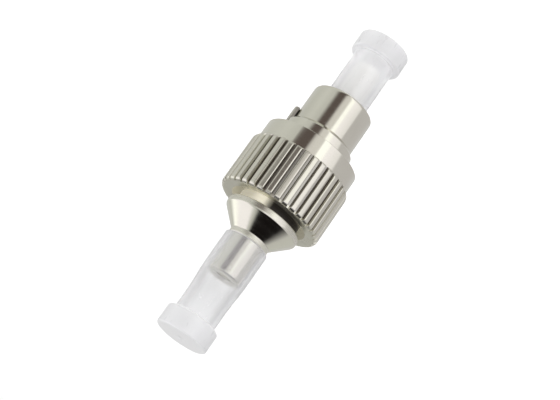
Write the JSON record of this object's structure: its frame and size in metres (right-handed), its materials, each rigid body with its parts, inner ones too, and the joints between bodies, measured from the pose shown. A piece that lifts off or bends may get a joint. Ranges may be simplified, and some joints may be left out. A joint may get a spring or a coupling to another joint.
{
  "type": "hybrid fibre optic adapter for a visual fault locator",
  "caption": "Metal hybrid fibre adapter: keyed plug with knurled coupling nut and large ferrule, coned body and tube port for a small ferrule, with a dust cap on each end.",
  "frame": {"origin": "centre of the front dust cap's flat end, which the part stands on", "axes": "+Z along the common axis, from the plug end up to the port end; +X towards the locating key"},
  "size_m": [0.01, 0.01, 0.0331],
  "materials": {
    "nickel_plate": "bright nickel plate over turned brass",
    "turned_brass": "as turned",
    "ceramic": null,
    "stainless_steel": "bright stainless steel",
    "clear_polyethylene": "translucent milky polyethylene"
  },
  "bodies": {
    "plug_body": {"plug_barrel": "nickel_plate", "key_ring": "nickel_plate", "cone_housing": "nickel_plate", "port_tube": "nickel_plate", "stop_bushing": "turned_brass", "split_sleeve": "ceramic", "ferrule_spring": "stainless_steel"},
    "ferrule_stub": {"front_ferrule": "ceramic", "ferrule_flange": "stainless_steel", "rear_ferrule": "ceramic"},
    "ring_slider": {"retaining_ring": "stainless_steel"},
    "nut": {"coupling_nut": "nickel_plate"},
    "front_cap": {"front_dust_cap": "clear_polyethylene"},
    "rear_cap": {"rear_dust_cap": "clear_polyethylene"}
  },
  "joints": [
    {"name": "nut_slide", "type": "slide", "parent": "plug_body", "child": "ring_slider", "axis": [0, 0, -1], "range_m": [-0.0018, 0.00458]},
    {"name": "nut_spin", "type": "hinge", "parent": "ring_slider", "child": "nut", "pos_m": [0, 0, 0.0176], "axis": [0, 0, 1], "continuous": true},
    {"name": "ferrule_float", "type": "slide", "parent": "plug_body", "child": "ferrule_stub", "axis": [0, 0, 1], "range_m": [0, 0.0008], "stiffness_N_per_m": 2500, "deforming": ["ferrule_spring"]},
    {"name": "front_cap_pull", "type": "slide", "parent": "plug_body", "child": "front_cap", "axis": [0, 0, -1], "range_m": [0, 0.012]},
    {"name": "rear_cap_pull", "type": "slide", "parent": "plug_body", "child": "rear_cap", "axis": [0, 0, 1], "range_m": [0, 0.012]}
  ]
}
